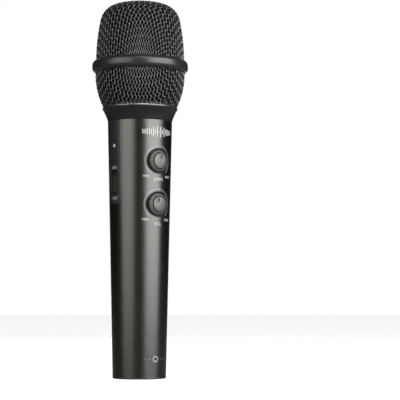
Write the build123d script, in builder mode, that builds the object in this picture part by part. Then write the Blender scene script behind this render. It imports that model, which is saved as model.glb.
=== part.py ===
from build123d import *
import os
from math import acos, asin, atan2, cos, degrees, radians, sin, sqrt

os.makedirs("parts", exist_ok=True)

# A hand-held karaoke microphone, standing upright on its tail. Millimetres.
# +Z runs up the axis from the tail rim to the top of the grille. The two dials face -Y,
# the switch panel faces -X, the headphone jack is on the -Y side of the tail.

# ---- Driving dimensions ----

# Handle: one tapered aluminium tube
handle_length = 132.3        # tail rim to the seam under the collar
tail_radius = 13.73
neck_radius = 16.75
handle_wall = 1.5
fit_gap = 0.05               # clearance of pieces that drop into a hole or a bore
board_gap = 0.4              # clearance of the chassis inside the handle

# Collar: the flared ring that the grille stands in
seal_height = 0.3
collar_flare_radius = 20.0   # radius of the concave flare
lip_radius = neck_radius + 2.85
lip_height = handle_length + 6.7     # where the lip's bevel starts
lip_top = lip_height + 0.9
lip_bevel = 0.25
collar_seat = lip_top - 1.8  # ledge that the skirt mesh stands on
collar_deck = collar_seat - 0.7      # ledge that the grille base ring stands on
collar_deck_radius = lip_radius - 2.7
head_ring_overlap = 5.0      # length of the threaded ring above the seam, inside the collar
head_ring_wall = 2.0
head_ring_neck = neck_radius - 1.85  # its radius inside the collar

# Grille: woven skirt, band and woven dome
mesh_thickness = 1.1         # two wires, where they cross
skirt_radius = lip_radius + 3.74     # at the band
skirt_top = lip_top + 17.4   # where the skirt starts to curve in
skirt_curve = 38.5
band_radius = skirt_radius + 1.66
band_bottom = skirt_top + 0.6
band_height = 6.8
band_flat = 1.3              # height of the band's straight face
band_web = 0.7               # web between the two meshes
band_web_rise = 3.2          # the web's lower face above the band's lower edge
band_web_width = 3.4
dome_radius = skirt_radius - 0.24
dome_foot = band_bottom + 6.1        # where the dome starts to curve in
dome_side_curve = 110.0
dome_side_turn = 11.5
dome_shoulder_curve = 10.6
dome_shoulder_turn = 64.4
foam_gap = 0.15
foam_thickness = 2.2
foam_clearance = 2.2         # end of the skirt foam above the grille base ring

# Dials: gain above, volume below
gain_height = handle_length - 21.2
volume_height = gain_height - 22.1
well_radius = 6.6            # hole in the handle
bezel_wall = 0.45
bezel_floor = 0.8
dial_gap = 0.2               # dial skirt to bezel
dial_skirt_height = 0.9
dial_skirt_sink = 1.2        # how far the skirt's back lies behind the handle's front line
dial_rise = 1.65             # top of the dial above the handle's front line
dial_rim_width = 0.3         # flat rim of the skirt, outside the serrated cone
dial_cone_run = 1.3          # how far the cone leans in, from its foot to its top
serrations = 26
serration_radius = 0.3
dial_cap_rim = 0.6           # rim of the dial round its metal disc
dial_cap_thickness = 0.55
dimple_radius = 0.8
dimple_inset = 1.65          # dimple centre from the disc's edge
dimple_depth = 0.35
gain_setting = 19.0          # where the dimple points, clockwise from 12 o'clock
volume_setting = -24.0
dial_hub_radius = 2.9
shaft_radius = 2.5
shaft_flat = 1.6             # the D shaft's flat, from its axis
pot_size = 9.5
pot_height = 5.6
pot_corner = 0.5
pot_sink = 3.16              # the pots' fronts behind the handle's front line at the lower dial
pot_bore_gap = 0.05
shaft_seat = 3.2             # length of shaft inside the pot

# Main board and the chassis that carries it
board_thickness = 1.6
board_width = 19.0
board_bottom = 20.0
board_drop = 3.1             # the board's top below the chassis's top
chassis_wall = 1.2
chassis_slot_gap = 1.0       # each side of the slide switch's slot, beyond the board's back
chassis_top = handle_length - 8.4
lower_rib = 30.0
middle_rib = volume_height - 14.0
rib_thickness = 4.0
top_rib_thickness = 2.5
lead_hole_radius = 3.2
screw_radius = 0.8
screw_length = 5.0
screw_head_radius = 1.5
screw_head_height = 0.9
screw_spacing = 14.0

# Switch panel
panel_width = 10.2
panel_length = 43.3          # from the seam down
panel_corner = 3.0
recess_width = 5.8
recess_length = 12.4
recess_height = handle_length - 31.8 # centre of the recess
recess_depth = 1.52          # behind the handle's surface
pocket_wall = 1.1
slider_width = 4.3
slider_length = 8.0
slider_rise = 1.15           # above the recess floor
slider_travel = 2.2
stem_width = 1.3
stem_length = 2.4
stem_depth = 3.0
ridge_count = 5
switch_width = 3.8
switch_length = 9.2
switch_thickness = 3.2
switch_clearance = 0.8       # slide switch behind the recess pocket
switch_board_thickness = 1.0
switch_board_width = 9.0
switch_board_length = 30.6
peg_radius = 1.2
peg_places = (-8.3, 13.0)    # pegs below and above the recess's centre
led_height = recess_height + 18.7
led_radius = 1.0
led_chip_height = 0.8

# Tail cap and its sockets
cap_flange = 1.0             # rim height, and depth of the recessed floor
cap_floor = 1.2
cap_rim_width = 1.53         # from the handle's surface in to the bevel
cap_bevel = 1.1              # width of the bevel from the rim down to the floor
cap_plug_length = 7.0
cap_plug_wall = 1.3
rim_round = 0.6
jack_offset = 5.9            # jack axis from the handle's axis
jack_bore_radius = 1.8
jack_ring_radius = 2.55
jack_ring_proud = 0.25       # above the recessed floor
jack_width = 6.6
jack_depth = 14.4            # bore length, ring included
jack_pin_radius = 0.4
jack_pin_spacing = 4.6
usb_offset = 4.9
usb_width = 8.94
usb_height = 3.16
usb_wall = 0.3
usb_depth = 7.4
usb_proud = 0.15
usb_corner = 1.5
tongue_width = 6.69
tongue_thickness = 0.7
tongue_recess = 0.9
port_board_height = 16.4
port_board_gap = 0.6         # port board to the tail cap's plug radius
port_board_thickness = 1.2
post_radius = 1.9
post_inset = 3.6             # post centres from the plug radius
header_depth = 2.8
header_thickness = 2.0
header_height = 8.0
header_lap = 1.1             # switch header over the switch board's edge

# Capsule and its suspension
capsule_radius = 12.5
capsule_wall = 1.0
capsule_bottom = lip_top + 12.1
capsule_height = 18.0
capsule_neck_radius = 5.0
capsule_neck_length = 6.0
shock_radius = 9.0
shock_height = 3.0
cradle_wall = 1.5
cradle_flange = 1.6
cradle_drop = 1.0            # the cradle's top below the capsule
cover_thickness = 1.0
cover_hole_radius = 0.7
clamp_height = 2.6
clamp_width = 1.5
diaphragm_thickness = 0.12
backplate_thickness = 3.0
capsule_board_rise = 3.0     # above the capsule's bottom
capsule_board_thickness = 1.2
lead_radius = 0.45
lead_spacing = 2.4
lead_bend = 4.0
lead_rise = 2.0              # where the leads bend, above the chassis
plug_depth = 3.6
backplate_holes = 8

BOTTOM = (Align.CENTER, Align.CENTER, Align.MIN)
TOP = (Align.CENTER, Align.CENTER, Align.MAX)


def keep(builder, name):
    """Label a finished piece and write its STEP file."""
    builder.part.label = name
    export_step(builder.part, f"parts/{name}.step")


# ---- Shapes that several pieces share ----

def handle_radius(height):
    return tail_radius + (neck_radius - tail_radius) * height / handle_length


def bore_radius(height):
    return handle_radius(height) - handle_wall


def frustum(lower, upper, inset):
    """Solid cone frustum between two heights, inset from the outside of the handle."""
    with BuildPart(mode=Mode.PRIVATE) as solid:
        with Locations((0, 0, lower)):
            Cone(handle_radius(lower) - inset, handle_radius(upper) - inset,
                 upper - lower, align=BOTTOM)
    return solid.part


def dome_lines(inset):
    """Side, shoulder and crown arcs of the dome, inset from its outer face."""
    side = JernArc((dome_radius - inset, dome_foot), (0, 1), dome_side_curve - inset,
                   dome_side_turn)
    shoulder = JernArc(side @ 1, side % 1, dome_shoulder_curve - inset, dome_shoulder_turn)
    crown_turn = 90 - dome_side_turn - dome_shoulder_turn
    crown_curve = (shoulder @ 1).X / sin(radians(crown_turn))
    crown = JernArc(shoulder @ 1, shoulder % 1, crown_curve, crown_turn)
    return side @ 0, crown @ 1


def dome_section(outer_inset, inner_inset, bottom):
    """Closed outline of a dome wall that runs straight down to a foot inside the band."""
    outer_foot, outer_top = dome_lines(outer_inset)
    inner_foot, inner_top = dome_lines(inner_inset)
    Line(outer_top, inner_top)
    Polyline(outer_foot, (outer_foot.X, bottom), (inner_foot.X, bottom), inner_foot)


def skirt_line(inset, bottom):
    """Skirt arc, inset from its outer face, from its top down to a height."""
    curve = skirt_curve - inset
    turn = degrees(asin((skirt_top - bottom) / curve))
    arc = JernArc((skirt_radius - inset, skirt_top), (0, -1), curve, -turn)
    return arc @ 0, arc @ 1


def skirt_section(outer_inset, inner_inset, top, bottom):
    """Closed outline of a skirt wall between two heights."""
    outer_head, outer_foot = skirt_line(outer_inset, bottom)
    inner_head, inner_foot = skirt_line(inner_inset, bottom)
    Line(outer_foot, inner_foot)
    Polyline(outer_head, (outer_head.X, top), (inner_head.X, top), inner_head)


# ---- Grille ----

band_top = band_bottom + band_height
web_height = band_bottom + band_web_rise
foam_dome_bottom = web_height + band_web + foam_gap

with BuildPart() as grille_dome:
    with BuildSketch(Plane.XZ):
        with BuildLine():
            dome_section(0, mesh_thickness, web_height + band_web)
        make_face()
    revolve(axis=Axis.Z)
keep(grille_dome, "grille_dome")

with BuildPart() as grille_skirt:
    with BuildSketch(Plane.XZ):
        with BuildLine():
            skirt_section(0, mesh_thickness, web_height, collar_seat)
        make_face()
    revolve(axis=Axis.Z)
keep(grille_skirt, "grille_skirt")

foam_inner = mesh_thickness + foam_gap + foam_thickness
with BuildPart() as foam_dome:
    with BuildSketch(Plane.XZ):
        with BuildLine():
            dome_section(mesh_thickness + foam_gap, foam_inner, foam_dome_bottom)
        make_face()
    revolve(axis=Axis.Z)
keep(foam_dome, "foam_dome")

foam_skirt_bottom = lip_top + foam_clearance
with BuildPart() as foam_skirt:
    with BuildSketch(Plane.XZ):
        with BuildLine():
            skirt_section(mesh_thickness + foam_gap, foam_inner, band_bottom, foam_skirt_bottom)
        make_face()
    revolve(axis=Axis.Z)
keep(foam_skirt, "foam_skirt")

# Rolled band: an outer face that bulges over the mesh ends, and a web between them
band_round = (band_top - band_bottom - band_flat) / 2
band_middle = (band_bottom + band_top) / 2


def band_turn(mesh_radius):
    """Turn of the band's rounded edge, from its straight face in to the mesh."""
    return degrees(acos(1 - (band_radius - mesh_radius) / band_round))


with BuildPart() as grille_band:
    with BuildSketch(Plane.XZ):
        with BuildLine():
            lower_round = JernArc((band_radius, band_middle - band_flat / 2), (0, -1),
                                  band_round, -band_turn(skirt_radius))
            upper_round = JernArc((band_radius, band_middle + band_flat / 2), (0, 1),
                                  band_round, band_turn(dome_radius))
            Line(lower_round @ 0, upper_round @ 0)
            Polyline(lower_round @ 1, (skirt_radius, web_height),
                     (skirt_radius - band_web_width / 2, web_height),
                     (skirt_radius - band_web_width / 2, web_height + band_web),
                     (dome_radius, web_height + band_web), upper_round @ 1)
        make_face()
    revolve(axis=Axis.Z)
keep(grille_band, "grille_band")

# ---- Collar, its seal and the rings inside it ----

collar_bottom = handle_length + seal_height


def skirt_radius_at(height):
    """Outer radius of the skirt mesh."""
    return skirt_radius - skirt_curve + sqrt(skirt_curve ** 2 - (skirt_top - height) ** 2)


with BuildPart() as collar_seal:
    with BuildSketch(Plane.XY.offset(handle_length)):
        Circle(neck_radius - seal_height)
        Circle(head_ring_neck, mode=Mode.SUBTRACT)
    extrude(amount=seal_height)
keep(collar_seal, "collar_seal")

with BuildPart() as collar:
    with BuildSketch(Plane.XZ):
        with BuildLine():
            flare = RadiusArc((neck_radius, collar_bottom), (lip_radius, lip_height),
                              collar_flare_radius)
            Polyline(flare @ 1, (lip_radius - lip_bevel, lip_top),
                     (skirt_radius_at(lip_top) + fit_gap, lip_top),
                     (skirt_radius_at(collar_seat) + 2 * fit_gap, collar_seat),
                     (collar_deck_radius, collar_seat), (collar_deck_radius, collar_deck),
                     (head_ring_neck + fit_gap, collar_deck),
                     (head_ring_neck + fit_gap, collar_bottom), flare @ 0)
        make_face()
    revolve(axis=Axis.Z)
keep(collar, "collar")

cradle_bottom = lip_top
with BuildPart() as grille_base_ring:
    with BuildSketch(Plane.XY.offset(collar_deck)):
        Circle(collar_deck_radius - fit_gap)
        Circle(head_ring_neck + fit_gap, mode=Mode.SUBTRACT)
    extrude(amount=cradle_bottom - collar_deck)
keep(grille_base_ring, "grille_base_ring")

# Threaded ring that joins the head to the handle: pressed into the tube, screwed into the collar
head_ring_top = handle_length + head_ring_overlap
with BuildPart() as head_ring:
    add(frustum(chassis_top, handle_length, handle_wall + fit_gap))
    with Locations((0, 0, handle_length)):
        Cylinder(head_ring_neck, head_ring_overlap, align=BOTTOM)
    with Locations((0, 0, chassis_top)):
        Cylinder(head_ring_neck - head_ring_wall, head_ring_top - chassis_top, align=BOTTOM,
                 mode=Mode.SUBTRACT)
keep(head_ring, "head_ring")

# ---- Capsule and its suspension ----

capsule_top = capsule_bottom + capsule_height
capsule_board_height = capsule_bottom + capsule_board_rise
cradle_top = capsule_bottom - cradle_drop
neck_bottom = capsule_bottom - capsule_neck_length
neck_bore = capsule_neck_radius - capsule_wall
with BuildPart() as capsule_housing:
    with Locations((0, 0, capsule_bottom)):
        Cylinder(capsule_radius, capsule_top - capsule_bottom, align=BOTTOM)
    fillet(capsule_housing.edges().sort_by(Axis.Z)[-1], capsule_wall / 2)
    with Locations((0, 0, neck_bottom)):
        Cylinder(capsule_neck_radius, capsule_neck_length, align=BOTTOM)
        Cylinder(neck_bore, capsule_neck_length + capsule_wall, align=BOTTOM,
                 mode=Mode.SUBTRACT)
    with Locations((0, 0, capsule_bottom + capsule_wall)):
        Cylinder(capsule_radius - capsule_wall, capsule_top - capsule_bottom, align=BOTTOM,
                 mode=Mode.SUBTRACT)
keep(capsule_housing, "capsule_housing")

capsule_bore = capsule_radius - capsule_wall
cover_bottom = capsule_top - cover_thickness - capsule_wall / 2
with BuildPart() as capsule_cover:
    with Locations((0, 0, cover_bottom)):
        Cylinder(capsule_bore, cover_thickness, align=BOTTOM)
        for ring_radius, hole_count in ((0.001, 1), (3, 6), (6, 12), (9, 18)):
            with PolarLocations(ring_radius, hole_count):
                Cylinder(cover_hole_radius, cover_thickness, align=BOTTOM, mode=Mode.SUBTRACT)
keep(capsule_cover, "capsule_cover")

diaphragm_top = cover_bottom - clamp_height
with BuildPart() as capsule_clamp_ring:
    with BuildSketch(Plane.XY.offset(diaphragm_top)):
        Circle(capsule_bore)
        Circle(capsule_bore - clamp_width, mode=Mode.SUBTRACT)
    extrude(amount=clamp_height)
keep(capsule_clamp_ring, "capsule_clamp_ring")

diaphragm_bottom = diaphragm_top - diaphragm_thickness
with BuildPart() as capsule_diaphragm:
    with Locations((0, 0, diaphragm_bottom)):
        Cylinder(capsule_bore, diaphragm_thickness, align=BOTTOM)
keep(capsule_diaphragm, "capsule_diaphragm")

with BuildPart() as capsule_backplate:
    with Locations((0, 0, diaphragm_bottom)):
        Cylinder(capsule_bore, backplate_thickness, align=TOP)
        with PolarLocations(capsule_bore / 2, backplate_holes):
            Cylinder(cover_hole_radius, backplate_thickness, align=TOP, mode=Mode.SUBTRACT)
keep(capsule_backplate, "capsule_backplate")

with BuildPart() as capsule_board:
    with Locations((0, 0, capsule_board_height)):
        Cylinder(capsule_bore, capsule_board_thickness, align=BOTTOM)
keep(capsule_board, "capsule_board")

shock_middle = (neck_bottom + capsule_bottom) / 2
with BuildPart() as shock_ring:
    with BuildSketch(Plane.XZ):
        with Locations(((capsule_neck_radius + shock_radius) / 2, shock_middle)):
            RectangleRounded(shock_radius - capsule_neck_radius, shock_height, shock_height / 4)
    revolve(axis=Axis.Z)
keep(shock_ring, "shock_ring")

with BuildPart() as capsule_cradle:
    with BuildSketch(Plane.XY.offset(cradle_bottom)):
        Circle(collar_deck_radius - fit_gap)
    extrude(amount=cradle_flange)
    with BuildSketch(Plane.XY.offset(cradle_bottom)):
        Circle(shock_radius + cradle_wall)
    extrude(amount=cradle_top - cradle_bottom)
    with BuildSketch(Plane.XY.offset(cradle_bottom)):
        Circle(shock_radius)
    extrude(amount=cradle_top - cradle_bottom, mode=Mode.SUBTRACT)
keep(capsule_cradle, "capsule_cradle")

# ---- Handle ----

gain_front = handle_radius(gain_height)
volume_front = handle_radius(volume_height)
dial_planes = {
    "gain": Plane(origin=(0, -gain_front, gain_height), x_dir=(1, 0, 0), z_dir=(0, -1, 0)),
    "volume": Plane(origin=(0, -volume_front, volume_height), x_dir=(1, 0, 0), z_dir=(0, -1, 0)),
}
dial_settings = {"gain": gain_setting, "volume": volume_setting}

panel_bottom = handle_length - panel_length
panel_plane = Plane(origin=(0, 0, 0), x_dir=(0, -1, 0), z_dir=(-1, 0, 0))


def window_prism(gap):
    """Prism of the switch panel's outline, inset by a gap and open at the top."""
    top = handle_length + neck_radius
    bottom = panel_bottom + gap
    with BuildPart(mode=Mode.PRIVATE) as prism:
        with BuildSketch(panel_plane) as outline:
            with Locations((0, (bottom + top) / 2)):
                Rectangle(panel_width - 2 * gap, top - bottom)
            fillet(outline.vertices().group_by(Axis.Y)[0], panel_corner)
        extrude(amount=2 * neck_radius)
    return prism.part


with BuildPart() as body_tube:
    add(frustum(cap_flange, handle_length, 0))
    add(frustum(cap_flange, handle_length, handle_wall), mode=Mode.SUBTRACT)
    for plane in dial_planes.values():
        with Locations(plane):
            Cylinder(well_radius, 2 * neck_radius, mode=Mode.SUBTRACT)
    add(window_prism(0), mode=Mode.SUBTRACT)
keep(body_tube, "body_tube")

# ---- Dials, their wells and potentiometers ----

bezel_radius = well_radius - fit_gap
pot_front = volume_front - pot_sink              # from the handle's axis
board_front = pot_front - pot_height
bezel_bore = bezel_radius - bezel_wall
dial_skirt_radius = bezel_bore - dial_gap
dial_cone_foot = dial_skirt_radius - dial_rim_width
dial_top_radius = dial_cone_foot - dial_cone_run
dial_cap_radius = dial_top_radius - dial_cap_rim
dimple_offset = dial_cap_radius - dimple_inset
dial_cone_height = dial_rise + dial_skirt_sink - dial_skirt_height
dial_cone_tilt = degrees(atan2(dial_cone_run, dial_cone_height))
board_back = board_front - board_thickness

for name, plane in dial_planes.items():
    pot_depth = -plane.origin.Y - pot_front      # handle's front line to the pot's front
    hub_depth = pot_depth - fit_gap

    with BuildPart() as bezel:
        with Locations(plane):
            Cylinder(bezel_radius, pot_depth, align=TOP)
        add(frustum(cap_flange, handle_length, fit_gap), mode=Mode.INTERSECT)
        with Locations(plane.offset(bezel_floor - pot_depth)):
            Cylinder(bezel_bore, pot_depth, align=BOTTOM, mode=Mode.SUBTRACT)
        with Locations(plane):
            Cylinder(dial_hub_radius + dial_gap, pot_depth, align=TOP, mode=Mode.SUBTRACT)
    keep(bezel, f"{name}_bezel")

    with BuildPart() as pot:
        with Locations(plane.offset(-pot_depth)):
            Box(pot_size, pot_size, pot_height, align=TOP)
        fillet(pot.edges().filter_by(Axis.Y), pot_corner)
        with Locations(plane.offset(-pot_depth)):
            Cylinder(shaft_radius + pot_bore_gap, shaft_seat + fit_gap, align=TOP,
                     mode=Mode.SUBTRACT)
    keep(pot, f"{name}_pot")

    with BuildPart() as shaft:
        with Locations(plane.offset(-pot_depth - shaft_seat)):
            Cylinder(shaft_radius, shaft_seat + pot_depth + dial_rise - 2 * dial_cap_thickness,
                     align=BOTTOM)
        with Locations(plane * Location((0, -shaft_flat, -hub_depth))):
            Box(2 * shaft_radius, shaft_radius, 2 * pot_depth,
                align=(Align.CENTER, Align.MAX, Align.MIN), mode=Mode.SUBTRACT)
    keep(shaft, f"{name}_shaft")

    with BuildPart() as dial:
        with Locations(plane.offset(-hub_depth)):
            Cylinder(dial_hub_radius, hub_depth, align=BOTTOM)
        with Locations(plane.offset(-dial_skirt_sink)):
            Cylinder(dial_skirt_radius, dial_skirt_height, align=BOTTOM)
        with Locations(plane.offset(dial_rise)):
            Cone(dial_cone_foot, dial_top_radius, dial_cone_height, align=TOP)
            Cylinder(dial_cap_radius, dial_cap_thickness, align=TOP, mode=Mode.SUBTRACT)
        with Locations(plane.offset(dial_rise - dial_cone_height / 2)):
            with PolarLocations((dial_cone_foot + dial_top_radius) / 2, serrations):
                Cylinder(serration_radius, 2 * dial_cone_height,
                         rotation=(0, -dial_cone_tilt, 0), mode=Mode.SUBTRACT)
        add(shaft.part, mode=Mode.SUBTRACT)
    keep(dial, f"{name}_dial")

    setting = radians(dial_settings[name])
    dimple_place = (dimple_offset * sin(setting), dimple_offset * cos(setting), dial_rise)
    with BuildPart() as dial_cap:
        with Locations(plane.offset(dial_rise)):
            Cylinder(dial_cap_radius, dial_cap_thickness, align=TOP)
        with Locations(plane * Location(dimple_place)):
            Cylinder(dimple_radius, dimple_depth, align=TOP, mode=Mode.SUBTRACT)
    keep(dial_cap, f"{name}_dial_cap")

# ---- Main board, its chips and the chassis ----

board_top = chassis_top - board_drop
board_middle = (board_bottom + board_top) / 2
screw_places = [(side * screw_spacing / 2, rib) for rib in (lower_rib, middle_rib)
                for side in (-1, 1)]
front_plane = Plane(origin=(0, -board_front, 0), x_dir=(1, 0, 0), z_dir=(0, -1, 0))
back_plane = Plane(origin=(0, -board_back, 0), x_dir=(-1, 0, 0), z_dir=(0, 1, 0))

screw_seats = [front_plane * Location((across, up, 0)) for across, up in screw_places]
with BuildPart() as main_board:
    with Locations(front_plane * Location((0, board_middle, 0))):
        Box(board_width, board_top - board_bottom, board_thickness, align=TOP)
    with Locations(*screw_seats):
        Cylinder(screw_radius, board_thickness, align=TOP, mode=Mode.SUBTRACT)
keep(main_board, "main_board")

# Packages as width, height, thickness, then place across and up the board
back_chips = ((7.0, 7.0, 1.0, 0.0, 56.0), (5.0, 4.4, 1.2, -3.5, 44.0), (3.2, 2.5, 0.8, 4.0, 46.0),
              (4.0, 4.0, 1.0, 3.0, 92.0), (2.0, 1.3, 0.8, -4.0, 64.0), (2.0, 1.3, 0.8, 4.5, 64.0))
front_cans = ((-4.0, 42.0), (4.0, 42.0), (-4.0, 56.0))
can_radius = 2.0
can_gap = 0.75               # can tops to the handle's bore
can_reach = max(abs(across) for across, up in front_cans) + can_radius
can_height = sqrt(bore_radius(min(up for across, up in front_cans)) ** 2
                  - can_reach ** 2) - board_front - can_gap
with BuildPart() as main_board_chips:
    for width, height, thickness, across, up in back_chips:
        with Locations(back_plane * Location((across, up, 0))):
            Box(width, height, thickness, align=BOTTOM)
    for across, up in front_cans:
        with Locations(front_plane * Location((across, up, 0))):
            Cylinder(can_radius, can_height, align=BOTTOM)
keep(main_board_chips, "main_board_chips")

with BuildPart() as board_screws:
    with Locations(*screw_seats):
        Cylinder(screw_head_radius, screw_head_height, align=BOTTOM)
        Cylinder(screw_radius, screw_length, align=TOP)
keep(board_screws, "board_screws")

port_board_top = port_board_height + port_board_thickness
chassis_inset = handle_wall + board_gap
top_rib_bottom = chassis_top - top_rib_thickness
bays = ((port_board_top, lower_rib - rib_thickness / 2),
        (lower_rib + rib_thickness / 2, middle_rib - rib_thickness / 2),
        (middle_rib + rib_thickness / 2, top_rib_bottom))
switch_board_top = top_rib_bottom - board_gap
with BuildPart() as chassis:
    add(frustum(port_board_top, chassis_top, chassis_inset))
    for lower, upper in bays:
        add(frustum(lower, upper, chassis_inset + chassis_wall), mode=Mode.SUBTRACT)
    with Locations((0, -board_back, 0)):
        Box(2 * neck_radius, neck_radius, chassis_top,
            align=(Align.CENTER, Align.MAX, Align.MIN), mode=Mode.SUBTRACT)
    with Locations((0, plug_depth - board_back, 0)):
        Cylinder(lead_hole_radius, chassis_top, align=BOTTOM, mode=Mode.SUBTRACT)
    with Locations((0, 0, panel_bottom)):
        Box(neck_radius, 2 * (board_back + chassis_slot_gap), top_rib_bottom - panel_bottom,
            align=(Align.MAX, Align.CENTER, Align.MIN), mode=Mode.SUBTRACT)
    add(board_screws.part, mode=Mode.SUBTRACT)
keep(chassis, "chassis")

# ---- Switch panel, slide switch and status light ----

recess_floor = handle_radius(recess_height) - recess_depth   # from the handle's axis
pocket_floor = recess_floor - pocket_wall
switch_front = pocket_floor - switch_clearance
switch_back = switch_front - switch_thickness
slot_width = stem_width + 2 * dial_gap
slot_length = stem_length + slider_travel + 2 * dial_gap
with BuildPart() as switch_panel:
    add(frustum(panel_bottom, handle_length, 0))
    add(frustum(panel_bottom, handle_length, handle_wall), mode=Mode.SUBTRACT)
    add(window_prism(fit_gap), mode=Mode.INTERSECT)
    with BuildSketch(panel_plane.offset(pocket_floor)):
        with Locations((0, recess_height)):
            SlotOverall(recess_length + 2 * pocket_wall, recess_width + 2 * pocket_wall,
                        rotation=90)
    extrude(amount=pocket_wall + handle_wall / 2)
    for peg_height in (recess_height + place for place in peg_places):
        with BuildSketch(panel_plane.offset(switch_back)):
            with Locations((0, peg_height)):
                Circle(peg_radius)
        extrude(amount=handle_radius(peg_height) - handle_wall / 2 - switch_back)
    with BuildSketch(panel_plane.offset(recess_floor)):
        with Locations((0, recess_height)):
            SlotOverall(recess_length, recess_width, rotation=90)
    extrude(amount=neck_radius - recess_floor, mode=Mode.SUBTRACT)
    with BuildSketch(panel_plane.offset(pocket_floor)):
        with Locations((0, recess_height)):
            Rectangle(slot_width, slot_length)
        with Locations((0, led_height)):
            Circle(led_radius)
    extrude(amount=neck_radius - pocket_floor, mode=Mode.SUBTRACT)
keep(switch_panel, "switch_panel")

slider_height = recess_height - slider_travel / 2
with BuildPart() as switch_slider:
    with BuildSketch(panel_plane.offset(recess_floor + fit_gap)):
        with Locations((0, slider_height)):
            RectangleRounded(slider_width, slider_length, slider_width / 3)
    extrude(amount=slider_rise)
    fillet(switch_slider.faces().sort_by(Axis.X)[0].edges(), slider_rise / 4)
    ridge_pitch = slider_length / (ridge_count + 2)
    with Locations(panel_plane * Location((0, slider_height, recess_floor + slider_rise))):
        with GridLocations(0, ridge_pitch, 1, ridge_count):
            Box(slider_width, ridge_pitch / 2, slider_rise / 2, mode=Mode.SUBTRACT)
    with BuildSketch(panel_plane.offset(recess_floor + fit_gap)):
        with Locations((0, slider_height)):
            Rectangle(stem_width, stem_length)
    extrude(amount=-stem_depth)
keep(switch_slider, "switch_slider")

with BuildPart() as slide_switch:
    with BuildSketch(panel_plane.offset(switch_back)):
        with Locations((0, recess_height)):
            Rectangle(switch_width, switch_length)
    extrude(amount=switch_front - switch_back)
    with BuildSketch(panel_plane.offset(switch_front)):
        with Locations((0, recess_height)):
            Rectangle(slot_width, slot_length)
    extrude(amount=-(stem_depth - recess_floor + switch_front + dial_gap), mode=Mode.SUBTRACT)
keep(slide_switch, "slide_switch")

with BuildPart() as switch_board:
    with BuildSketch(panel_plane.offset(switch_back)):
        with Locations((0, switch_board_top - switch_board_length / 2)):
            Rectangle(switch_board_width, switch_board_length)
    extrude(amount=-switch_board_thickness)
keep(switch_board, "switch_board")

header_place = switch_back - switch_board_thickness
with BuildPart() as switch_header:
    with Locations((-header_place, -board_back, recess_height)):
        Box(header_depth, board_back - switch_board_width / 2 + header_lap, header_height,
            align=(Align.MIN, Align.MIN, Align.MIN))
keep(switch_header, "switch_header")

with BuildPart() as status_led:
    with Locations((-switch_back, 0, led_height)):
        Box(led_chip_height, 2 * led_radius, 1.3 * led_radius,
            align=(Align.MAX, Align.CENTER, Align.CENTER))
keep(status_led, "status_led")

with BuildPart() as led_lens:
    with BuildSketch(panel_plane.offset(switch_back + led_chip_height + fit_gap)):
        with Locations((0, led_height)):
            Circle(led_radius)
    extrude(amount=handle_radius(led_height) - switch_back - led_chip_height)
    fillet(led_lens.edges().sort_by(Axis.X)[0], led_radius / 3)
keep(led_lens, "led_lens")

# ---- Tail cap, sockets and their board ----

plug_radius = bore_radius(cap_flange) - fit_gap
floor_top = cap_flange + cap_floor
cap_recess_radius = tail_radius - cap_rim_width - cap_bevel
post_offset = plug_radius - post_inset
post_places = [(side * post_offset, 0) for side in (-1, 1)]
with BuildPart() as port_screws:
    with BuildSketch(Plane.XY.offset(port_board_top)):
        with Locations(*post_places):
            Circle(screw_head_radius)
    extrude(amount=screw_head_height)
    with BuildSketch(Plane.XY.offset(port_board_top)):
        with Locations(*post_places):
            Circle(screw_radius)
    extrude(amount=-screw_length)
keep(port_screws, "port_screws")

with BuildPart() as base_cap:
    add(frustum(0, cap_flange, 0))
    fillet(base_cap.edges().filter_by(GeomType.CIRCLE).sort_by(Axis.Z)[0], rim_round)
    with Locations((0, 0, cap_flange)):
        Cylinder(plug_radius, cap_plug_length, align=BOTTOM)
    Cone(cap_recess_radius + cap_bevel, cap_recess_radius, cap_flange, align=BOTTOM,
         mode=Mode.SUBTRACT)
    with Locations((0, 0, floor_top)):
        Cylinder(plug_radius - cap_plug_wall, cap_plug_length, align=BOTTOM,
                 mode=Mode.SUBTRACT)
    with BuildSketch(Plane.XY.offset(floor_top)):
        with Locations(*post_places):
            Circle(post_radius)
    extrude(amount=port_board_height - floor_top)
    with Locations((0, -jack_offset, 0)):
        Cylinder(jack_ring_radius, floor_top, align=BOTTOM, mode=Mode.SUBTRACT)
    with BuildSketch():
        with Locations((0, usb_offset)):
            RectangleRounded(usb_width, usb_height, usb_corner)
    extrude(amount=floor_top, mode=Mode.SUBTRACT)
    add(port_screws.part, mode=Mode.SUBTRACT)
keep(base_cap, "base_cap")

jack_mouth = cap_flange - jack_ring_proud
with BuildPart() as jack_ring:
    with Locations((0, -jack_offset, jack_mouth)):
        Cylinder(jack_ring_radius, floor_top - jack_mouth, align=BOTTOM)
        Cylinder(jack_bore_radius, floor_top - jack_mouth, align=BOTTOM, mode=Mode.SUBTRACT)
keep(jack_ring, "jack_ring")

with BuildPart() as jack_body:
    with Locations((0, -jack_offset, floor_top)):
        Box(jack_width, jack_width, port_board_height - floor_top, align=BOTTOM)
    with Locations((0, -jack_offset, jack_mouth)):
        Cylinder(jack_bore_radius, jack_depth, align=BOTTOM, mode=Mode.SUBTRACT)
keep(jack_body, "jack_body")

with BuildPart() as jack_pins:
    with Locations((0, -jack_offset, port_board_height)):
        with GridLocations(jack_pin_spacing, jack_pin_spacing, 2, 2):
            Cylinder(jack_pin_radius, port_board_thickness, align=BOTTOM)
keep(jack_pins, "jack_pins")

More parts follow.
